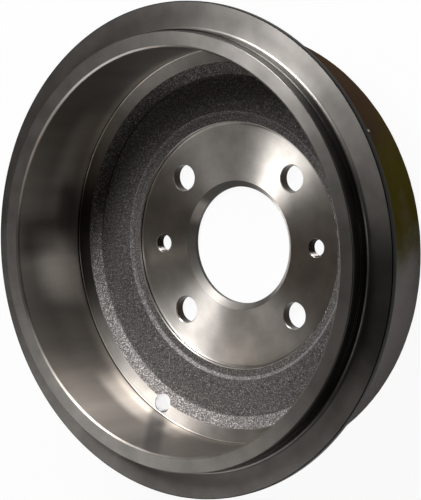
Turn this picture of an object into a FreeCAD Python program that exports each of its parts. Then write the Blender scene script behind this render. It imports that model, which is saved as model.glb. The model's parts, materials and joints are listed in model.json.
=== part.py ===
import FreeCAD, Part
import math
import os

# Rear brake drum for a small passenger car: one grey iron casting, turned on
# the friction band, the open end, the flange face, the hub faces and the bore.
# Millimetres. The origin is the centre of the wheel mounting face, the drum
# lies on that face, and +Z runs along the axle towards the open end.

# Bore that centres the drum on the axle hub
bore_diameter = 60.4
bore_chamfer = 3.3            # lead-in on the brake side, at 45 degrees
bore_edge_break = 0.4         # wheel side

# Hub plate, clamped between the wheel and the axle flange
hub_thickness = 5.8
hub_disc_diameter = 126.6     # turned seat for the axle flange
hub_disc_corner = 0.6         # left by the tool at the foot of the seat's wall
hub_disc_recess = 2.1         # depth of the seat below the cast annulus
pad_diameter = 140.0          # wheel mounting face
pad_height = 3.1              # how far the mounting face stands off the web
pad_draft = 1.4
pad_edge_break = 0.6
pad_root_blend = 1.1

# Cast web between the hub plate and the friction band
annulus_width = 4.2           # low cast ring around the seat
step_run = 1.5                # sloping side of the step up to the web
step_rise = 1.7
step_edge_break = 0.4
web_slope_rise = 1.0          # the web rises this much on its way outwards
web_foot_diameter = 175.8     # where the web turns up towards the ledge
web_foot_rise = 2.7

# Turned ledge and friction band
ledge_width = 7.4
friction_diameter = 203.2
friction_length = 49.3        # from the ledge to the end of the drum
friction_corner = 0.7         # left by the tool where the band meets the ledge

# Open end: the lip that reaches past the flange
lip_wall = 8.1
lip_inner_chamfer = 1.2
lip_outer_break = 0.4
lip_height = 11.2             # above the flange face
lip_foot_wall = 8.9           # thicker lower half of the lip's outer side
lip_foot_height = 5.0
lip_foot_corner = 0.8         # left by the tool where the lip meets the flange

# Flange around the open end, and the body under it
flange_width = 14.6           # beyond the lip's outer side
flange_thickness = 3.3
flange_edge_break = 0.4
flange_under_blend = 2.0
body_wall = 8.3
body_back_round = 2.0

# Holes in the hub plate: wheel bolts and two threaded holes between them
hole_circle_diameter = 98.0
bolt_hole_count = 4
bolt_hole_diameter = 13.6     # M12 wheel bolts pass through
bolt_hole_chamfer = 0.45
first_bolt_angle = 45.0
jack_hole_count = 2
jack_thread_diameter = 10.0   # M10 coarse
jack_thread_pitch = 1.5
minor_depth_per_pitch = 1.0825  # a metric thread's inner diameter is this much less
jack_hole_chamfer = 0.85
first_jack_angle = 0.0

# Hole through the ledge, to reach the brake adjuster with a screwdriver
adjuster_hole_diameter = 10.0
adjuster_hole_angle = 241.2
adjuster_hole_inset = 5.4     # from the friction band to the hole's centre

# How far the cutting tools run past the faces that they open
tool_overrun = 2.0

bore_radius = bore_diameter / 2
friction_radius = friction_diameter / 2
hub_disc_radius = hub_disc_diameter / 2
pad_radius = pad_diameter / 2

annulus_radius = hub_disc_radius + annulus_width
step_radius = annulus_radius + step_run
web_foot_radius = web_foot_diameter / 2
ledge_radius = friction_radius - ledge_width

annulus_level = hub_thickness + hub_disc_recess
step_level = annulus_level + step_rise
web_foot_level = step_level + web_slope_rise
ledge_level = web_foot_level + web_foot_rise
end_level = ledge_level + friction_length
flange_level = end_level - lip_height
flange_under_level = flange_level - flange_thickness
lip_step_level = flange_level + lip_foot_height

lip_radius = friction_radius + lip_wall
lip_foot_radius = friction_radius + lip_foot_wall
body_radius = friction_radius + body_wall
flange_radius = lip_radius + flange_width

jack_tap_diameter = jack_thread_diameter - minor_depth_per_pitch * jack_thread_pitch
hole_circle_radius = hole_circle_diameter / 2


def sharp(radius, height):
    """A corner of an outline that stays sharp."""
    return radius, height, 0, False


def broken(radius, height, size):
    """A corner cut off flat, this far along each of its two sides."""
    return radius, height, size, False


def rounded(radius, height, size):
    """A corner with an arc of this radius."""
    return radius, height, size, True


def point_towards(start, end, distance):
    """The point at a distance from start on the line towards end."""
    step = end - start
    return start + step * (distance / step.Length)


def corner_edge(before, here, after, size, is_round):
    """The flat or the arc that takes the place of a corner."""
    turn = (before - here).getAngle(after - here)
    setback = size / math.tan(turn / 2) if is_round else size
    first = point_towards(here, before, setback)
    last = point_towards(here, after, setback)
    if not is_round:
        return Part.makeLine(first, last)
    centre = point_towards(here, (first + last) * 0.5, size / math.sin(turn / 2))
    middle = point_towards(centre, here, size)
    return Part.Arc(first, middle, last).toShape()


def outline(corners):
    """A closed wire through corners, each sharp, cut off or rounded."""
    places = [FreeCAD.Vector(radius, 0, height) for radius, height, _, _ in corners]
    corner_edges = []
    ends = []
    for index, (_, _, size, is_round) in enumerate(corners):
        here = places[index]
        if size == 0:
            corner_edges.append([])
            ends.append((here, here))
            continue
        after = places[(index + 1) % len(places)]
        edge = corner_edge(places[index - 1], here, after, size, is_round)
        corner_edges.append([edge])
        ends.append((edge.firstVertex().Point, edge.lastVertex().Point))
    edges = []
    for index, corner in enumerate(corner_edges):
        arrive = ends[(index + 1) % len(ends)][0]
        edges += corner
        edges.append(Part.makeLine(ends[index][1], arrive))
    return Part.Wire(edges)


def turned(corners):
    """The solid that the outline sweeps around the axle."""
    section = Part.Face(outline(corners))
    return section.revolve(FreeCAD.Vector(0, 0, 0), FreeCAD.Vector(0, 0, 1), 360)


def drum_blank():
    """The casting after turning, before any hole is drilled."""
    wheel_side = [
        sharp(bore_radius + bore_edge_break, 0),
        broken(pad_radius, 0, pad_edge_break),
        broken(pad_radius + pad_draft, pad_height, pad_root_blend),
        rounded(body_radius, pad_height, body_back_round),
    ]
    flange_and_lip = [
        broken(body_radius, flange_under_level, flange_under_blend),
        broken(flange_radius, flange_under_level, flange_edge_break),
        broken(flange_radius, flange_level, flange_edge_break),
        broken(lip_foot_radius, flange_level, lip_foot_corner),
        sharp(lip_foot_radius, lip_step_level),
        sharp(lip_radius, lip_step_level),
        broken(lip_radius, end_level, lip_outer_break),
        sharp(friction_radius + lip_inner_chamfer, end_level),
        sharp(friction_radius, end_level - lip_inner_chamfer),
    ]
    brake_side = [
        broken(friction_radius, ledge_level, friction_corner),
        sharp(ledge_radius, ledge_level),
        sharp(web_foot_radius, web_foot_level),
        broken(step_radius, step_level, step_edge_break),
        sharp(annulus_radius, annulus_level),
        sharp(hub_disc_radius, annulus_level),
        broken(hub_disc_radius, hub_thickness, hub_disc_corner),
        sharp(bore_radius + bore_chamfer, hub_thickness),
        sharp(bore_radius, hub_thickness - bore_chamfer),
        sharp(bore_radius, bore_edge_break),
    ]
    return turned(wheel_side + flange_and_lip + brake_side)


def hub_hole_tool(diameter, chamfer):
    """A drill through the hub plate that also breaks both of its edges."""
    radius = diameter / 2
    wide = radius + chamfer + tool_overrun
    return turned([
        sharp(0, -tool_overrun),
        sharp(wide, -tool_overrun),
        sharp(radius, chamfer),
        sharp(radius, hub_thickness - chamfer),
        sharp(wide, hub_thickness + tool_overrun),
        sharp(0, hub_thickness + tool_overrun),
    ])


def adjuster_hole_tool():
    """A drill through the ledge and the corner of the web under it."""
    length = ledge_level - pad_height + 2 * tool_overrun
    start = FreeCAD.Vector(0, 0, pad_height - tool_overrun)
    return Part.makeCylinder(adjuster_hole_diameter / 2, length, start)


def placed(tool, circle_radius, angle):
    """A copy of a tool moved out to a circle and turned to an angle."""
    copy = tool.copy()
    copy.translate(FreeCAD.Vector(circle_radius, 0, 0))
    copy.rotate(FreeCAD.Vector(0, 0, 0), FreeCAD.Vector(0, 0, 1), angle)
    return copy


def pattern(tool, count, first_angle):
    """Copies of a tool, evenly spaced on the hub's hole circle."""
    return [
        placed(tool, hole_circle_radius, first_angle + index * 360 / count)
        for index in range(count)
    ]


def brake_drum():
    """The finished drum: the turned casting with all its holes."""
    bolt_tool = hub_hole_tool(bolt_hole_diameter, bolt_hole_chamfer)
    jack_tool = hub_hole_tool(jack_tap_diameter, jack_hole_chamfer)
    tools = pattern(bolt_tool, bolt_hole_count, first_bolt_angle)
    tools += pattern(jack_tool, jack_hole_count, first_jack_angle)
    adjuster_circle = friction_radius - adjuster_hole_inset
    tools.append(placed(adjuster_hole_tool(), adjuster_circle, adjuster_hole_angle))
    return drum_blank().cut(tools)


os.makedirs("parts", exist_ok=True)
drum = brake_drum()
drum.exportStep("parts/brake_drum.step")

print("volume cm3", round(drum.Volume / 1000, 1), "valid", drum.isValid())
print("solids", len(drum.Solids), "box", drum.BoundBox)
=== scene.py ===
import json
import math

import bpy
import numpy as np
from mathutils import Matrix, Vector


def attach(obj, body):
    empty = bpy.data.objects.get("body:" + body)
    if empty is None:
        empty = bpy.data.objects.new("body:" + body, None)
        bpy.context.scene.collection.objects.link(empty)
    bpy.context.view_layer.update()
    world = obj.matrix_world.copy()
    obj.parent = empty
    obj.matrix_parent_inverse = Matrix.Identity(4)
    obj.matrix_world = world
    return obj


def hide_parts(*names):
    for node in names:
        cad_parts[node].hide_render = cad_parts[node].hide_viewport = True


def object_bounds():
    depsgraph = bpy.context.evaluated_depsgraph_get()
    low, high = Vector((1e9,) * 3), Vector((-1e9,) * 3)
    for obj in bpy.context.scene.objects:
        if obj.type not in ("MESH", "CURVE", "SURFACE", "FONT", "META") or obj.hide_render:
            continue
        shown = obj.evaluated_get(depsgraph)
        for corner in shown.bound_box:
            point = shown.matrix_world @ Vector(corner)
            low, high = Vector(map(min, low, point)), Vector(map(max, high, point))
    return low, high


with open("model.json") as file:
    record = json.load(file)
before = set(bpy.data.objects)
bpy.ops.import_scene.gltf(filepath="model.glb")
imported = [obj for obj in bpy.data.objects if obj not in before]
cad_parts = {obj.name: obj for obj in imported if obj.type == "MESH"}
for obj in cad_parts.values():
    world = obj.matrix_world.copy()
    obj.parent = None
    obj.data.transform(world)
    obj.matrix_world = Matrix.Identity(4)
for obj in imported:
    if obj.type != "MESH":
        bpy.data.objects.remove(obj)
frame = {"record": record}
cadLow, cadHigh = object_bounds()
mm = 0.001
mounts = {mount["name"]: mount for mount in frame["record"]["mounts"]}
print("frame loaded, drum box in mm", [round(v / mm, 1) for v in cadHigh - cadLow])


# What the frame's record says of a mount, in metres.
def mountSize(name, key):
    return mounts[name]["dims"][key] * mm


openEnd = cadHigh.z
hubThickness = mounts["hub_face"]["pos_m"][2]
seatRadius = mountSize("flange_seat", "r_mm")
frictionRadius = mountSize("friction_band", "r_mm")

# The casting's section. What the frame knows is read from it, and the other
# radii and levels are counted from that.
drum = {
    "segments": 360,             # facets around the axle
    "castSpacing": 1.2 * mm,     # how closely the cast skin is divided
    "turnedSpacing": 8 * mm,
    "arcStep": 13,               # degrees of arc between two points
    "arcLeastSteps": 2,
    "sharpAngle": 24,            # degrees from which an edge is shaded sharp
    "openEnd": openEnd,
    "flangeRadius": cadHigh.x,
    "hubThickness": hubThickness,
    "boreRadius": mountSize("centre_bore", "r_mm"),
    "boreChamfer": 3.3 * mm,
    "boreEdgeBreak": 0.4 * mm,
    "seatRadius": seatRadius,
    "annulusLevel": hubThickness + 2.1 * mm,
    "annulusRadius": seatRadius + 4.2 * mm,
    "stepLevel": hubThickness + 3.8 * mm,
    "stepRadius": seatRadius + 5.7 * mm,
    "webFootLevel": hubThickness + 4.8 * mm,
    "webFootRadius": frictionRadius - 14.3 * mm,
    "ledgeLevel": hubThickness + 7.5 * mm,
    "ledgeRadius": frictionRadius - 7.4 * mm,
    "frictionRadius": frictionRadius,
    # The strip at the band's foot carries painted shade.
    "bandFoot": 1.45 * mm,       # darker strip where the band meets the ledge
    "lipInnerChamfer": 0.85 * mm,
    "lipRadius": frictionRadius + 8.1 * mm,
    "lipFootRadius": frictionRadius + 8.9 * mm,
    "lipStepLevel": openEnd - 6.2 * mm,
    "flangeLevel": openEnd - 11.2 * mm,
    "flangeThickness": 3.3 * mm,
    "bodyRadius": frictionRadius + 8.3 * mm,
    "padRadius": 70.0 * mm,
    "padDraft": 1.4 * mm,
    "padHeight": 3.1 * mm,
}

# How round its corners are.
roundings = {
    "padEdge": 0.6 * mm,
    "padRoot": 1.6 * mm,
    "bodyBack": 2.0 * mm,
    "underFlange": 3.0 * mm,
    "rimBelow": 0.2 * mm,
    "rimAbove": 0.45 * mm,
    "lipFillet": 1.1 * mm,
    "lipStep": 0.3 * mm,
    "lipEdge": 0.5 * mm,
    "ledgeFillet": 0.45 * mm,
    "ledgeEdge": 0.3 * mm,
    "webFoot": 4.0 * mm,
    "step": 0.8 * mm,
    "annulus": 0.7 * mm,
    "seatEdge": 0.35 * mm,
    "seatCorner": 0.8 * mm,
}

# The sides of the cast skin's border that a stretch can be on.
turned, cast = -1, 1

# Every stretch of the section: turned or cast, how pale and how rough it is.
finishes = {
    "wheelFace": (turned, 0.45, 0.45),
    "back": (cast, 0.10, 0.5),
    "body": (cast, 0.06, 0.8),
    # Painted shade: the flange's rim is nearly black.
    "flangeRim": (turned, 0.007, 0.4),
    "flange": (turned, 0.2, 0.5),
    "lipFillet": (turned, 0.3, 0.4),
    # Painted shade: the lip's outside is dark.
    "lipOutside": (turned, 0.06, 0.3),
    "lipEdge": (turned, 0.1, 0.3),
    "lipFace": (turned, 0.21, 0.6),
    "lipChamfer": (turned, 0.5, 0.55),
    "friction": (turned, 0.29, 0.33),
    # Painted shade: the strip at the band's foot is dark.
    "bandFoot": (turned, 0.035, 0.35),
    "ledgeFillet": (turned, 0.36, 0.4),
    "ledge": (turned, 0.34, 0.5),
    "webFoot": (cast, 0.13, 0.5),
    "web": (cast, 0.07, 0.5),
    "step": (cast, 0.15, 0.5),
    "annulus": (cast, 0.095, 0.45),
    "seatEdge": (turned, 0.5, 0.4),
    # Painted shade: the seat's wall is nearly black.
    "seatWall": (turned, 0.02, 0.4),
    "seat": (turned, 0.52, 0.42),
    "boreChamfer": (turned, 0.2, 0.62),
    # Painted shade: the bore's wall is dark.
    "bore": (turned, 0.05, 0.45),
}


# Corners of the section: radius, height, rounding, finish of the next stretch.
def sectionCorners():
    d, r = drum, roundings
    underFlange = d["flangeLevel"] - d["flangeThickness"]
    return [
        (d["boreRadius"] + d["boreEdgeBreak"], 0, 0, "wheelFace"),
        (d["padRadius"], 0, r["padEdge"], "back"),
        (d["padRadius"] + d["padDraft"], d["padHeight"], r["padRoot"], "back"),
        (d["bodyRadius"], d["padHeight"], r["bodyBack"], "body"),
        (d["bodyRadius"], underFlange, r["underFlange"], "body"),
        (d["flangeRadius"], underFlange, r["rimBelow"], "flangeRim"),
        (d["flangeRadius"], d["flangeLevel"], r["rimAbove"], "flangeRim"),
        (d["flangeRadius"] - r["rimAbove"], d["flangeLevel"], 0, "flange"),
        (d["lipFootRadius"], d["flangeLevel"], r["lipFillet"], "lipFillet"),
        (d["lipFootRadius"], d["flangeLevel"] + r["lipFillet"], 0, "lipOutside"),
        (d["lipFootRadius"], d["lipStepLevel"], r["lipStep"], "lipOutside"),
        (d["lipRadius"], d["lipStepLevel"], r["lipStep"], "lipOutside"),
        (d["lipRadius"], d["openEnd"], r["lipEdge"], "lipEdge"),
        (d["lipRadius"] - r["lipEdge"], d["openEnd"], 0, "lipFace"),
        (d["frictionRadius"] + d["lipInnerChamfer"], d["openEnd"], 0, "lipChamfer"),
        (d["frictionRadius"], d["openEnd"] - d["lipInnerChamfer"], 0, "friction"),
        (d["frictionRadius"], d["ledgeLevel"] + d["bandFoot"], 0, "bandFoot"),
        (d["frictionRadius"], d["ledgeLevel"], r["ledgeFillet"], "ledgeFillet"),
        (d["frictionRadius"] - r["ledgeFillet"], d["ledgeLevel"], 0, "ledge"),
        (d["ledgeRadius"], d["ledgeLevel"], r["ledgeEdge"], "webFoot"),
        (d["webFootRadius"], d["webFootLevel"], r["webFoot"], "web"),
        (d["stepRadius"], d["stepLevel"], r["step"], "step"),
        (d["annulusRadius"], d["annulusLevel"], r["annulus"], "annulus"),
        (d["seatRadius"] + 2 * r["seatEdge"], d["annulusLevel"], 0, "seatEdge"),
        (d["seatRadius"], d["annulusLevel"], r["seatEdge"], "seatEdge"),
        (d["seatRadius"], d["annulusLevel"] - r["seatEdge"], 0, "seatWall"),
        (d["seatRadius"], d["hubThickness"], r["seatCorner"], "seat"),
        (d["boreRadius"] + d["boreChamfer"], d["hubThickness"], 0, "boreChamfer"),
        (d["boreRadius"], d["hubThickness"] - d["boreChamfer"], 0, "bore"),
        (d["boreRadius"], d["boreEdgeBreak"], 0, "bore"),
    ]


# The arc of one corner: with unit vectors a and b towards the neighbours and
# half the angle between them, the centre lies rounding / sin(half) along the
# bisector, and the arc's points are blended between its two ends on a circle.
def cornerArc(here, a, b, rounding):
    if rounding == 0:
        return here[None]
    half = math.acos(a @ b) / 2
    centre = here + (a + b) / np.linalg.norm(a + b) * rounding / math.sin(half)
    start = here + a * rounding / math.tan(half) - centre
    end = here + b * rounding / math.tan(half) - centre
    sweep = math.pi - 2 * half
    steps = max(drum["arcLeastSteps"], math.ceil(math.degrees(sweep) / drum["arcStep"]))
    share = np.linspace(0, 1, steps + 1)[:, None]
    blend = np.sin((1 - share) * sweep) * start + np.sin(share * sweep) * end
    return centre + blend / math.sin(sweep)


# The section as points, with the distance along it; the distance to the
# nearest border of the cast skin, above zero on the skin and below zero off
# it; and how pale and how rough the surface is after each point.
def section():
    corners = sectionCorners()
    places = np.array([corner[:2] for corner in corners])
    toNext = np.roll(places, -1, axis=0) - places
    toNext /= np.linalg.norm(toNext, axis=1)[:, None]
    toLast = -np.roll(toNext, 1, axis=0)
    arcs = [cornerArc(here, a, b, corner[2])
            for here, a, b, corner in zip(places, toLast, toNext, corners)]
    pieces = []
    finish = []
    for arc, nextArc, corner in zip(arcs, arcs[1:] + arcs[:1], corners):
        stretch = finishes[corner[3]]
        gap = nextArc[0] - arc[-1]
        spacing = drum["castSpacing"] if stretch[0] == cast else drum["turnedSpacing"]
        count = max(1, round(np.linalg.norm(gap) / spacing))
        share = (np.arange(1, count) / count)[:, None]
        pieces += [arc, arc[-1] + gap * share]
        finish += [stretch] * (len(arc) + count - 1)
    points = np.concatenate(pieces)
    steps = np.linalg.norm(np.roll(points, -1, axis=0) - points, axis=1)
    along = np.concatenate([[0], np.cumsum(steps)])
    side, shade, roughness = np.array(finish).T
    changes = along[:-1][side != np.roll(side, 1)]
    apart = np.abs(along[:, None] - changes[None]).min(axis=1)
    return points, along, apart * np.append(side, side[0]), np.stack([shade, roughness], 1)


# How the cast skin swells and sinks.
relief = {
    "height": 0.06 * mm,
    "noises": [(5 * mm, 0.6, 2), (2.4 * mm, 1.0, 3)],  # size, share and seed of each
    "fade": 2 * mm,              # towards the skin's borders
    "cells": 64,                 # the noise repeats after this many cells
    "shift": 1000,               # cells by which it is moved
}


# Smooth noise from -1 to 1: random values on a cubic lattice of that size,
# blended along each axis with the curve 3t^2 - 2t^3.
def valueNoise(points, size, seed):
    cells = relief["cells"]
    table = np.random.default_rng(seed).random((cells, cells, cells)) * 2 - 1
    scaled = points / size + relief["shift"]
    cell = np.floor(scaled).astype(int)
    t = scaled - cell
    t = t * t * (3 - 2 * t)
    total = np.zeros(points.shape[:-1])
    for corner in np.ndindex(2, 2, 2):
        index = (cell + corner) % cells
        weight = np.prod(np.where(np.array(corner) == 1, t, 1 - t), axis=-1)
        total += weight * table[index[..., 0], index[..., 1], index[..., 2]]
    return total


# A closed mesh from a grid of points, first index around, second along. Where
# capped, the two end columns are points on the axis and become fans. A map
# gives each strip of faces a pair of values at its low and at its high side.
def meshFromGrid(name, points, capped, maps):
    around, along = points.shape[:2]
    rows = points
    if capped:
        rows = points[:, 1:-1]
        along -= 2
    i = np.arange(around)[:, None]
    j = np.arange(along - 1 if capped else along)[None, :]
    nextI = (i + 1) % around
    nextJ = (j + 1) % along
    quads = np.stack([i * along + j, nextI * along + j, nextI * along + nextJ, i * along + nextJ], -1)
    vertices = rows.reshape(-1, 3)
    faces = quads.reshape(-1, 4).tolist()
    if capped:
        low = len(vertices)
        vertices = np.concatenate([vertices, points[:1, 0], points[:1, -1]])
        first = i[:, 0] * along
        nextFirst = nextI[:, 0] * along
        last = along - 1
        faces += np.stack([first, np.full(around, low), nextFirst], -1).tolist()
        faces += np.stack([first + last, nextFirst + last, np.full(around, low + 1)], -1).tolist()
    mesh = bpy.data.meshes.new(name)
    mesh.from_pydata(vertices.tolist(), [], faces)
    for mapName, (low, high) in maps.items():
        layer = mesh.uv_layers.new(name=mapName)
        face = np.stack([low, low, high, high], 1)
        layer.data.foreach_set("uv", np.tile(face[None], (around, 1, 1, 1)).ravel())
    piece = bpy.data.objects.new(name, mesh)
    bpy.context.scene.collection.objects.link(piece)
    return piece


# The drum before drilling: the section (r, z) turned about the axle, so that
# x = r cos a and y = r sin a. The cast skin is pushed along its own normal by
# two sizes of value noise, which fade out at its borders.
def castingBlank():
    points, along, skin, look = section()
    angle = np.linspace(0, 2 * np.pi, drum["segments"], endpoint=False)
    radial = np.stack([np.cos(angle), np.sin(angle), np.zeros_like(angle)], -1)[:, None]
    upward = np.array([0.0, 0.0, 1.0])
    surface = radial * points[None, :, :1] + upward * points[None, :, 1:]
    slope = np.roll(points, -1, axis=0) - np.roll(points, 1, axis=0)
    slope /= np.linalg.norm(slope, axis=1)[:, None]
    outward = radial * slope[None, :, 1:] - upward * slope[None, :, :1]
    swell = sum(share * valueNoise(surface, size, seed) for size, share, seed in relief["noises"])
    swell *= relief["height"] * np.clip(skin[:-1] / relief["fade"], 0, 1)
    surface += outward * swell[..., None]
    place = np.stack([along, skin], 1)
    maps = {"section": (place[:-1], place[1:]), "finish": (look, look)}
    return meshFromGrid("brakeDrumCasting", surface, False, maps)


# The drills and taps.
hole = {
    "facets": 72,
    "overrun": 1.5 * mm,         # tools run past the faces by this much
    "firstBolt": 0.5,            # from +X, in shares of the angle between two bolts
    "boltChamfer": 0.45 * mm,
    "pitch": 1.5 * mm,           # M10 coarse
    "major": 5.0 * mm,           # radius at the thread's root
    "crestFlat": 0.25,           # of the pitch, at the thread's inner radius
    "rootFlat": 0.125,           # of the pitch, at its root
    "countersink": 0.85 * mm,
    "threadRows": 97,
}


# The angles of a tool's facets, one in each row.
def facetAngles():
    return np.linspace(0, 2 * np.pi, hole["facets"], endpoint=False)[:, None]


# A tool from radii and heights: x = x0 + r cos a, y = y0 + r sin a, z = height.
def holeTool(name, place, radius, height):
    angle = facetAngles()
    x = place[0] + radius * np.cos(angle)
    y = place[1] + radius * np.sin(angle)
    return meshFromGrid(name, np.stack(np.broadcast_arrays(x, y, height), -1), True, {})


# A drill: an outline (r, z) from axis to axis, turned about the hole's centre.
def drill(place, outline):
    radius, height = np.array(outline).T
    return holeTool("drill", place, radius, height)


# A tap: radius = minor + depth * trapezoid(z / pitch - angle / turn), and never
# less than the cones at 45 degrees that countersink both faces.
def tap(place):
    h = hole
    minor = mountSize("jack_thread_right", "r_mm")
    top = drum["hubThickness"]
    height = np.linspace(-h["overrun"], top + h["overrun"], h["threadRows"])[None]
    phase = (height / h["pitch"] - facetAngles() / (2 * np.pi)) % 1
    flank = (np.abs(2 * phase - 1) - h["crestFlat"]) / (1 - h["crestFlat"] - h["rootFlat"])
    radius = minor + (h["major"] - minor) * np.clip(flank, 0, 1)
    radius = np.maximum(radius, minor + h["countersink"] - np.minimum(height, top - height))
    radius = np.pad(radius, ((0, 0), (1, 1)))
    height = np.pad(height, ((0, 0), (1, 1)), mode="edge")
    return holeTool("tap", place, radius, height)


# Every hole's tool, joined into one object. The bolt holes stand on their circle
# at x = r cos a and y = r sin a, and the others where their mounts say.
def holeTools():
    over = hole["overrun"]
    chamfer = hole["boltChamfer"]
    top = drum["hubThickness"]
    bolts = mounts["wheel_bolts"]["dims"]
    circle = bolts["pcd_mm"] / 2 * mm
    radius = bolts["hole_r_mm"] * mm
    wide = radius + chamfer + over
    boltOutline = [(0, -over), (wide, -over), (radius, chamfer),
                   (radius, top - chamfer), (wide, top + over), (0, top + over)]
    tools = []
    for turn in np.arange(bolts["count"]) + hole["firstBolt"]:
        angle = turn * 2 * np.pi / bolts["count"]
        tools.append(drill((circle * math.cos(angle), circle * math.sin(angle)), boltOutline))
    tools += [tap(mounts["jack_thread_" + side]["pos_m"]) for side in ("right", "left")]
    radius = mountSize("adjuster_hole", "r_mm")
    low = drum["padHeight"] - over
    high = drum["ledgeLevel"] + over
    adjusterOutline = [(0, low), (radius, low), (radius, high), (0, high)]
    tools.append(drill(mounts["adjuster_hole"]["pos_m"], adjusterOutline))
    with bpy.context.temp_override(active_object=tools[0], selected_editable_objects=tools):
        bpy.ops.object.join()
    return tools[0]


# The turned casting with its holes cut, as one closed mesh. Faces that the
# tools leave have the second material.
def drumCasting(materials):
    piece = castingBlank()
    tools = holeTools()
    for target in (piece, tools):
        for material in materials:
            target.data.materials.append(material)
    tools.data.polygons.foreach_set("material_index", np.ones(len(tools.data.polygons), int))
    cut = piece.modifiers.new("holes", "BOOLEAN")
    cut.operation = "DIFFERENCE"
    cut.solver = "EXACT"
    cut.object = tools
    evaluated = piece.evaluated_get(bpy.context.evaluated_depsgraph_get())
    finished = bpy.data.meshes.new_from_object(evaluated)
    piece.modifiers.clear()
    piece.data = finished
    bpy.data.objects.remove(tools)
    finished.shade_smooth()
    finished.set_sharp_from_angle(angle=math.radians(drum["sharpAngle"]))
    return piece


# A node's output. Sums on it add Math or Vector Math nodes.
class Wire:
    def __init__(self, tree, socket=None):
        self.tree = tree
        self.socket = socket

    # Adds a node of a type: its settings first, then its sockets' values or links.
    def node(self, kind, settings, inputs, output=0):
        made = self.tree.nodes.new("ShaderNode" + kind)
        for name, value in settings.items():
            setattr(made, name, value)
        for name, value in inputs.items():
            if isinstance(value, Wire):
                self.tree.links.new(value.socket, made.inputs[name])
            else:
                made.inputs[name].default_value = value
        return Wire(self.tree, made.outputs[output])

    def isVector(self):
        return self.socket.type in ("VECTOR", "RGBA")

    # A colour or vector times a number is Scale, because Multiply takes two vectors.
    def math(self, operation, first, *rest):
        vectors = [isinstance(value, Wire) and value.isVector() for value in (first, *rest)]
        if operation == "MULTIPLY" and vectors == [True, False]:
            return self.node("VectorMath", {"operation": "SCALE"}, {"Vector": first, "Scale": rest[0]})
        kind = "VectorMath" if any(vectors) else "Math"
        return self.node(kind, {"operation": operation}, dict(enumerate((first, *rest))))

    def __add__(self, other):
        return self.math("ADD", self, other)

    def __radd__(self, other):
        return self.math("ADD", other, self)

    def __sub__(self, other):
        return self.math("SUBTRACT", self, other)

    def __rsub__(self, other):
        return self.math("SUBTRACT", other, self)

    def __mul__(self, other):
        return self.math("MULTIPLY", self, other)

    def __rmul__(self, other):
        return self.math("MULTIPLY", other, self)

    # 0 below low, 1 above high, and a smooth curve between.
    def ramp(self, low, high):
        return self.node("MapRange", {"interpolation_type": "SMOOTHSTEP"}, {
            "Value": self, "From Min": low, "From Max": high})

    # Noise about 0.5 with features of that size.
    def noise(self, size, detail):
        return self.node("TexNoise", {}, {"Vector": self, "Scale": 1 / size, "Detail": detail})

    # The same along one measure alone.
    def streaks(self, size, detail):
        return self.node("TexNoise", {"noise_dimensions": "1D"}, {
            "W": self, "Scale": 1 / size, "Detail": detail})

    # A gain about 1 from noise about 0.5.
    def gain(self, contrast):
        return 1 + (self - 0.5) * (2 * contrast)

    # One colour where this is 0 and the other where it is 1.
    def mix(self, low, high):
        return self.node("Mix", {"data_type": "RGBA"}, {0: self, 6: low, 7: high}, 2)

    # The same for two numbers.
    def blend(self, low, high):
        return self.node("Mix", {"data_type": "FLOAT"}, {0: self, 2: low, 3: high}, 0)


# An empty material, and a wire to start its nodes from.
def newMaterial(name):
    material = bpy.data.materials.new(name)
    material.use_nodes = True
    material.node_tree.nodes.clear()
    return material, Wire(material.node_tree)


# Ends a material's or a world's nodes with its output.
def finishNodes(wire, shader, kind="Material"):
    output = wire.tree.nodes.new("ShaderNodeOutput" + kind)
    wire.tree.links.new(shader.socket, output.inputs["Surface"])


# Where a point is: its place, its three coordinates, its distance from the axle
# and how far that is past the friction band.
def pieceCoordinates(wire):
    place = wire.node("TexCoord", {}, {}, "Object")
    x, y, z = (wire.node("SeparateXYZ", {}, {"Vector": place}, axis) for axis in "XYZ")
    radius = wire.math("SQRT", x * x + y * y)
    return {"place": place, "x": x, "y": y, "z": z, "radius": radius,
            "past": radius - drum["frictionRadius"]}


# Noises are given by their size and detail, and ranges by their start and end.
# An edge's range counts from the friction band's radius.
iron = {
    "turnedTint": (1.0, 0.945, 0.89, 1),
    "bandTint": (1.0, 0.92, 0.84, 1),        # friction band
    "bandEdge": (-0.4 * mm, -0.2 * mm),
    "anisotropy": 0.85,                      # inside the drum
    "outerAnisotropy": 0.65,                 # flange and lip
    "outerBlend": 0.2 * mm,                  # from the one to the other
    "brushing": 0.25,                        # direction of the marks, as a share of a turn
    "toolMarks": (0.5 * mm, 3.0),
    "toolMarkContrast": 0.11,
    "toolMarkHeight": 0.01 * mm,
    "clouds": (13 * mm, 3.0),                # soft patches, drawn out along the axle
    "cloudStretch": (1, 1, 0.15),
    "cloudContrast": 0.4,
    # Painted reflection of the ledge, which makes the friction band's end beside it paler:
    "unwornBand": 10 * mm,                   # brighter end of the friction band
    "unwornEdge": (-0.6 * mm, -0.3 * mm),
    "unwornGain": 1.9,
    "castTint": (1.0, 0.94, 0.92, 1),
    "castMetallic": 0.3,
    "insideEdge": (0, 1 * mm),
    "specks": (0.6 * mm, 1.0),
    "speckRange": (0.62, 0.7),
    "speckGain": 2.2,
    "footSpecks": 0.06,                      # more of them where the web turns up
    "footBlend": 1.5 * mm,
    "grain": (0.6 * mm, 2.0),
    "grainRange": (0.35, 0.65),
    "grainHeight": 0.14 * mm,
    "grainContrast": 0.35,
    "lumps": (1.3 * mm, 1.0),                # darker hollows between the grains
    "lumpRange": (0.35, 0.65),
    "lumpContrast": 0.2,
    "ragged": (1.1 * mm, 3.0),               # how the skin's border wanders
    "raggedWidth": 0.6 * mm,
    "borderRange": (-0.1 * mm, 0.1 * mm),
}
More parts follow.
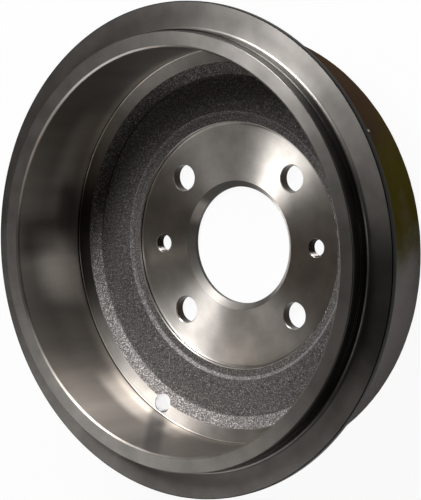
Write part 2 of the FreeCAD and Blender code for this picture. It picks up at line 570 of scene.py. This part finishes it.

# The cast skin outside changes tint along Y, which is upwards when the drum
# stands on its rim: grey, then olive, then brown. The grey is pale partly as
# painted light. There is one pale speck in it.
outsideTintAndPaintedLight = {
    "clouds": (25 * mm, 4.0),
    "cloudHeight": 70 * mm,                  # by which the clouds move its edges
    "oliveRange": (-30 * mm, 18 * mm),
    "brownRange": (35 * mm, 75 * mm),
    "startEdge": (-3 * mm, 0),
    # Pale partly as painted light.
    "grey": (3.2, 3.02, 3.0, 1),
    "olive": (0.88, 0.72, 0.13, 1),
    "brown": (0.68, 0.42, 0.26, 1),
    "speckPlace": (0.0927, 0.059, 0.0226),
    "speckRange": (0.4 * mm, 1.1 * mm),
    "speckTint": (6.0, 5.4, 5.0, 1),
}

# Painted highlights, reflections and shade: places that are paler or darker than
# around them. Each has its azimuth from +X towards +Y at the ledge's level and
# half its width in degrees, the degrees by which it leans for every mm upwards,
# the two radii and the two heights between which it lies in mm, and its gain.
paintedLightPatches = {
    "boreTop": (100, 45, 0, 29, 33.4, 0, 8, 0.6),
    "boreRight": (0, 65, 0, 29, 33.4, 0, 8, 5.0),
    "boreUpperLeft": (147, 17, 0, 29, 33.4, 0, 8, 2.8),
    "boreLowerLeft": (245, 62, 0, 29, 33.4, 0, 8, 1.9),
    "seatUpperRight": (48, 25, 0, 33.7, 63.4, 0, 8, 1.4),
    "webLow": (252, 60, 0, 69.5, 87, 0, 14, 1.35),
    "footUpperLeft": (145, 45, 0, 87, 94.3, 0, 14, 0.32),
    "footLow": (238, 45, 0, 87, 94.3, 0, 14, 1.35),
    "ledgeLeft": (180, 30, 0, 94.3, 101.2, 12, 15, 0.2),
    "ledgePeak": (236.5, 8, 0, 94.3, 101.2, 12, 15, 0.65),
    "filletLeft": (180, 28, 0, 100.9, 102, 12, 15, 0.25),
    "filletLow": (230, 20, 0, 100.9, 102, 12, 15, 0.55),
    "bandTop": (95, 40, 0, 101.2, 101.8, 13, 66, 0.65),
    "bandLeft": (185, 50, 0, 101.2, 101.8, 38, 70, 0.65),
    "bandUpperLeft": (148, 18, 0, 101.2, 101.8, 13, 38, 1.9),
    "bandDarkLow": (176.5, 13, -0.45, 101.2, 101.8, 13, 32, 0.5),
    "bandDarkHigh": (177, 8, 0, 101.2, 101.8, 30, 62, 0.45),
    "bandGlow": (189, 14, -0.1, 101.2, 101.8, 16, 46, 2.8),
    "bandFan": (233.5, 14, 0, 101.2, 101.8, 17, 32.5, 2.7),
    "bandFanRight": (252, 6, 0, 101.2, 101.8, 13, 30, 1.6),
    "belowAdjuster": (241.2, 4.5, 0.42, 101.2, 101.8, 13, 66, 0.5),
    "lipChamferTop": (118, 48, 0, 101.2, 102.6, 61, 63, 2.4),
    "lipChamferLeft": (186, 24, 0, 101.2, 102.6, 61, 63, 0.4),
    "lipChamferRight": (50, 55, 0, 101.2, 102.6, 61, 63, 0.15),
    "lipFaceRight": (12, 34, 0, 102.6, 109.6, 61, 64, 0.6),
    "lipFaceLow": (282, 42, 0, 102.6, 109.6, 61, 64, 1.5),
    "lipFootRight": (343, 75, 0, 109.4, 112.5, 50, 63, 0.28),
    "flangeRight": (350, 24, 0, 112.5, 125, 50, 63, 0.18),
}

# How softly a place of painted light or shade ends.
paintedLightFade = {
    "core": 1 / 3,               # share of its half width that has the full gain
    "radius": 0.1,               # mm to each side of its radii
    "height": 1 / 4,             # to each side of its heights, as a share of their distance
}


# The gain of a place of painted light or shade: its share is 1 in the patch and
# falls smoothly to 0 at its sides, |azimuth - middle - lean * (z - ledge)|, at its radii and its heights.
def paintedLightGain(wire, spot, azimuth, patch):
    middle, halfWidth, lean, inner, outer, low, high, gain = patch
    turn = azimuth - (spot["z"] - drum["ledgeLevel"]) * (lean / mm) - middle
    aside = wire.math("ABSOLUTE", wire.math("WRAP", turn, 180.0, -180.0))
    share = 1 - aside.ramp(halfWidth * paintedLightFade["core"], halfWidth)
    for value, start, end, soft in (
            (spot["radius"], inner, outer, paintedLightFade["radius"]),
            (spot["z"], low, high, (high - low) * paintedLightFade["height"])):
        share = share * value.ramp((start - soft) * mm, (start + soft) * mm)
        share = share * (1 - value.ramp((end - soft) * mm, (end + soft) * mm))
    return share.blend(1.0, gain)


# Brushed iron, uneven by its tool marks and by soft clouds. The friction band is
# warmer than the rest and has a painted reflection of the ledge at its end beside
# it, and the brushing is weaker on the flange and the lip.
def turnedIron(wire, spot, along, shade, roughness):
    marks = along.streaks(*iron["toolMarks"])
    stretched = wire.node("Mapping", {}, {"Vector": spot["place"], "Scale": iron["cloudStretch"]})
    clouds = stretched.noise(*iron["clouds"])
    # Painted reflection of the ledge on the friction band's end beside it.
    ledgeSheen = 1 - spot["z"].ramp(drum["ledgeLevel"], drum["ledgeLevel"] + iron["unwornBand"])
    ledgeSheen = ledgeSheen * spot["past"].ramp(*iron["unwornEdge"])
    shade = shade * marks.gain(iron["toolMarkContrast"]) * clouds.gain(iron["cloudContrast"])
    shade = shade * ledgeSheen.blend(1.0, iron["unwornGain"])
    outer = spot["past"].ramp(drum["lipInnerChamfer"], drum["lipInnerChamfer"] + iron["outerBlend"])
    tint = spot["past"].ramp(*iron["bandEdge"]).mix(iron["turnedTint"], iron["bandTint"])
    color = outer.mix(tint, iron["turnedTint"]) * shade
    bump = wire.node("Bump", {}, {"Height": marks, "Distance": iron["toolMarkHeight"], "Strength": 1.0})
    inner, outside = (wire.node("BsdfPrincipled", {}, {
        "Base Color": color, "Metallic": 1.0, "Roughness": roughness,
        "Anisotropic": anisotropy, "Anisotropic Rotation": iron["brushing"], "Normal": bump})
        for anisotropy in (iron["anisotropy"], iron["outerAnisotropy"]))
    return wire.node("MixShader", {}, {0: outer, 1: inner, 2: outside})


# The tint of the cast skin by place: grey inside, and outside a tint that
# runs from grey, pale partly as painted light, through olive to brown.
def castTint(wire, spot):
    cloud = spot["place"].noise(*outsideTintAndPaintedLight["clouds"]) - 0.5
    height = spot["y"] + cloud * outsideTintAndPaintedLight["cloudHeight"]
    upper = height.ramp(*outsideTintAndPaintedLight["brownRange"]).mix(outsideTintAndPaintedLight["olive"], outsideTintAndPaintedLight["brown"])
    outside = height.ramp(*outsideTintAndPaintedLight["oliveRange"]).mix(outsideTintAndPaintedLight["grey"], upper)
    away = wire.node("VectorMath", {"operation": "DISTANCE"}, {
        0: spot["place"], 1: outsideTintAndPaintedLight["speckPlace"]}, "Value")
    outside = away.ramp(*outsideTintAndPaintedLight["speckRange"]).mix(outsideTintAndPaintedLight["speckTint"], outside)
    return spot["past"].ramp(*outsideTintAndPaintedLight["startEdge"]).mix(iron["castTint"], outside)


# The cast skin. Inside the drum it has grain, hollows and pale specks.
def castIron(wire, spot, shade, roughness):
    place = spot["place"]
    inside = 1 - spot["past"].ramp(*iron["insideEdge"])
    foot = spot["radius"].ramp(drum["webFootRadius"], drum["webFootRadius"] + iron["footBlend"])
    specks = (place.noise(*iron["specks"]) + foot * iron["footSpecks"]).ramp(*iron["speckRange"])
    lumps = place.noise(*iron["lumps"]).ramp(*iron["lumpRange"])
    grain = place.noise(*iron["grain"])
    gain = grain.ramp(*iron["grainRange"]).gain(iron["grainContrast"])
    gain = gain * lumps.gain(iron["lumpContrast"]) * specks.blend(1.0, iron["speckGain"])
    bump = wire.node("Bump", {}, {"Height": grain, "Distance": iron["grainHeight"], "Strength": 1.0})
    return wire.node("BsdfPrincipled", {}, {
        "Base Color": castTint(wire, spot) * (shade * inside.blend(1.0, gain)),
        "Metallic": inside * iron["castMetallic"], "Roughness": roughness,
        "Specular IOR Level": 0.0, "Normal": bump})


# Turned iron and cast skin in one. The section's map says how far a point is
# from the skin's border, which noise makes ragged, and the finish map how pale
# and how rough it is.
def greyIron():
    material, wire = newMaterial("greyIron")
    spot = pieceCoordinates(wire)
    maps = [wire.node("UVMap", {"uv_map": name}, {}) for name in ("section", "finish")]
    along, inward, shade, roughness = (
        wire.node("SeparateXYZ", {}, {"Vector": pair}, axis) for pair in maps for axis in "XY")
    azimuth = wire.math("ARCTAN2", spot["y"], spot["x"]) * math.degrees(1)
    # Painted highlights, reflections and shade scale the shade here.
    for patch in paintedLightPatches.values():
        shade = shade * paintedLightGain(wire, spot, azimuth, patch)
    ragged = (spot["place"].noise(*iron["ragged"]) - 0.5) * (2 * iron["raggedWidth"])
    skin = (inward + ragged).ramp(*iron["borderRange"])
    finishNodes(wire, wire.node("MixShader", {}, {
        0: skin, 1: turnedIron(wire, spot, along, shade, roughness),
        2: castIron(wire, spot, shade, roughness)}))
    return material


# The holes' colours; their dark colour is painted shade on the walls inside them.
bores = {
    "threadColor": (0.1, 0.094, 0.088, 1),
    "chamferColor": (0.55, 0.52, 0.49, 1),
    "adjusterColor": (1.0, 0.99, 0.98, 1),
    "darkColor": (0.02, 0.014, 0.01, 1),
    "boltRange": (12 * mm, 13 * mm),         # bolt holes lie further from the X axis
    "threadRange": (-3 * mm, -1.5 * mm),     # threads are dark above this in Y
    "threadDark": 0.9,                       # and by this share
    "adjusterRange": (80 * mm, 81 * mm),     # the adjuster hole lies further out
    "mouth": 0.5 * mm,                       # its dark upper end
    "clearWall": 3.9 * mm,                   # its wall is bright this far from its middle in Y
    "blend": 0.05 * mm,
    "roughness": 0.3,
}


# What the drills leave: dark walls as painted shade in the bolt holes and on the
# +Y side of the threads, brighter metal elsewhere.
def drilledIron():
    material, wire = newMaterial("drilledIron")
    spot = pieceCoordinates(wire)
    # Painted shade on the bolt holes' walls and on the +Y side of the threads.
    threads = spot["y"].ramp(*bores["threadRange"]) * bores["threadDark"]
    dark = wire.math("ABSOLUTE", spot["y"]).ramp(*bores["boltRange"]).blend(threads, 1.0)
    wallEnd = drum["hubThickness"] - hole["boltChamfer"]
    hub = dark.mix(bores["threadColor"], bores["darkColor"])
    hub = spot["z"].ramp(wallEnd, wallEnd + bores["blend"]).mix(hub, bores["chamferColor"])
    # Painted shade on the adjuster hole's wall away from its middle in Y and at its mouth.
    aside = wire.math("ABSOLUTE", spot["y"] - mounts["adjuster_hole"]["pos_m"][1])
    shaded = aside.ramp(bores["clearWall"], mountSize("adjuster_hole", "r_mm"))
    mouth = drum["ledgeLevel"] - bores["mouth"]
    shaded = wire.math("MAXIMUM", shaded, spot["z"].ramp(mouth, mouth + bores["blend"]))
    ledge = shaded.mix(bores["adjusterColor"], bores["darkColor"])
    finishNodes(wire, wire.node("BsdfPrincipled", {}, {
        "Base Color": spot["radius"].ramp(*bores["adjusterRange"]).mix(hub, ledge),
        "Metallic": 1.0, "Roughness": bores["roughness"]}))
    return material


casting = drumCasting([greyIron(), drilledIron()])
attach(casting, "root")
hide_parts("brake_drum")
print("casting made,", len(casting.data.polygons), "faces")

# The camera stands where the photograph's did, rolled so that the drum leans.
view = {
    "azimuth": 6.671,            # degrees from +X towards +Y
    "range": 677.75 * mm,        # from the axle, along the floor
    "height": 896.57 * mm,
    "heading": 186.734,          # degrees, where it looks
    "lookDown": 52.0,
    "roll": -96.485,
    "lens": 156.52,
    "sensor": 36,
    "clipStart": 0.05,
}


# The camera looks along (cos e cos a, cos e sin a, -sin e).
def makeCamera():
    data = bpy.data.cameras.new("camera")
    data.lens = view["lens"]
    data.sensor_width = view["sensor"]
    data.clip_start = view["clipStart"]
    camera = bpy.data.objects.new("camera", data)
    bpy.context.scene.collection.objects.link(camera)
    azimuth, heading, down, roll = (
        math.radians(view[key]) for key in ("azimuth", "heading", "lookDown", "roll"))
    look = Vector((math.cos(down) * math.cos(heading), math.cos(down) * math.sin(heading), -math.sin(down)))
    camera.rotation_mode = "QUATERNION"
    level = look.to_track_quat("-Z", "Y")
    camera.rotation_quaternion = level @ Matrix.Rotation(roll, 3, "Z").to_quaternion()
    camera.location = (view["range"] * math.cos(azimuth), view["range"] * math.sin(azimuth), view["height"])
    bpy.context.scene.camera = camera


studio = {
    "floorHalf": 3.0,
    "floorLevel": -0.1 * mm,     # a hair below the drum's face
    "floorColor": (0.6, 0.6, 0.6, 1),
    "floorWhite": 0.94,          # share of plain white that the camera sees
    "whiteColor": (1, 1, 1, 1),
    "darkColor": (1.0, 0.8, 0.6, 1),
    "dark": 0.05,                # the world's strength as light
    "horizonHeight": 0.04,
    "lampDistance": 1.4,
}


# 1 for camera and transmission rays, and a share for glossy rays.
def seenRay(wire, glossShare):
    camera, glossy, through = (wire.node("LightPath", {}, {}, "Is " + kind + " Ray")
                               for kind in ("Camera", "Glossy", "Transmission"))
    return wire.math("MAXIMUM", wire.math("MAXIMUM", camera, glossy * glossShare), through)


# A square floor, from -half to half both ways. It looks almost white, keeps a
# faint shadow and is clear from below.
def makeFloor():
    half = studio["floorHalf"]
    level = studio["floorLevel"]
    mesh = bpy.data.meshes.new("floor")
    mesh.from_pydata([(-half, -half, level), (half, -half, level),
                      (half, half, level), (-half, half, level)], [], [(0, 1, 2, 3)])
    floor = bpy.data.objects.new("floor", mesh)
    bpy.context.scene.collection.objects.link(floor)
    material, wire = newMaterial("paleFloor")
    paint = wire.node("BsdfDiffuse", {}, {"Color": studio["floorColor"]})
    white = wire.node("Emission", {}, {"Color": studio["whiteColor"], "Strength": 1.0})
    share = seenRay(wire, 1.0) * studio["floorWhite"]
    top = wire.node("MixShader", {}, {0: share, 1: paint, 2: white})
    below = wire.node("NewGeometry", {}, {}, "Backfacing")
    clear = wire.node("BsdfTransparent", {}, {})
    finishNodes(wire, wire.node("MixShader", {}, {0: below, 1: top, 2: clear}))
    mesh.materials.append(material)


# Dark for light, white where it is seen straight or, near the horizon, in gloss.
def makeWorld():
    world = bpy.data.worlds.new("studio")
    bpy.context.scene.world = world
    world.use_nodes = True
    world.node_tree.nodes.clear()
    wire = Wire(world.node_tree)
    direction = wire.node("TexCoord", {}, {}, "Generated")
    height = wire.node("SeparateXYZ", {}, {"Vector": direction}, "Z")
    seen = seenRay(wire, 1 - height.ramp(0, studio["horizonHeight"]))
    finishNodes(wire, wire.node("Background", {}, {
        "Color": seen.mix(studio["darkColor"], studio["whiteColor"]),
        "Strength": seen.blend(studio["dark"], 1.0)}), "World")


# Each lamp stands at an azimuth from +X towards +Y, faces the drum and may lean.
lamps = {
    "key": {"azimuth": 99, "elevation": 46, "lean": -36, "width": 0.42, "height": 0.95, "power": 31},
    "fill": {"azimuth": 242, "elevation": 42, "lean": 0, "width": 0.8, "height": 0.6, "power": 3.1},
    "front": {"azimuth": 7, "elevation": 25, "lean": 0, "width": 0.12, "height": 0.3, "power": 1.4},
    "low": {"azimuth": 325, "elevation": 10, "lean": 0, "width": 0.9, "height": 0.3, "power": 2.2},
    "back": {"azimuth": 197, "elevation": 12, "lean": 0, "width": 0.6, "height": 0.3, "power": 1.0},
}


# A rectangular soft lamp.
def makeLamp(name, lamp):
    data = bpy.data.lights.new(name, "AREA")
    data.shape = "RECTANGLE"
    data.size = lamp["width"]
    data.size_y = lamp["height"]
    data.energy = lamp["power"]
    light = bpy.data.objects.new(name, data)
    bpy.context.scene.collection.objects.link(light)
    azimuth, elevation, lean = (math.radians(lamp[key]) for key in ("azimuth", "elevation", "lean"))
    towards = Vector((math.cos(elevation) * math.cos(azimuth),
                      math.cos(elevation) * math.sin(azimuth), math.sin(elevation)))
    light.location = towards * studio["lampDistance"]
    light.rotation_mode = "QUATERNION"
    facing = (-towards).to_track_quat("-Z", "Y")
    light.rotation_quaternion = facing @ Matrix.Rotation(lean, 3, "Z").to_quaternion()


makeCamera()
makeFloor()
makeWorld()
for lampName, lampValues in lamps.items():
    makeLamp(lampName, lampValues)
bpy.context.scene.view_settings.view_transform = "Standard"
print("camera and studio made")
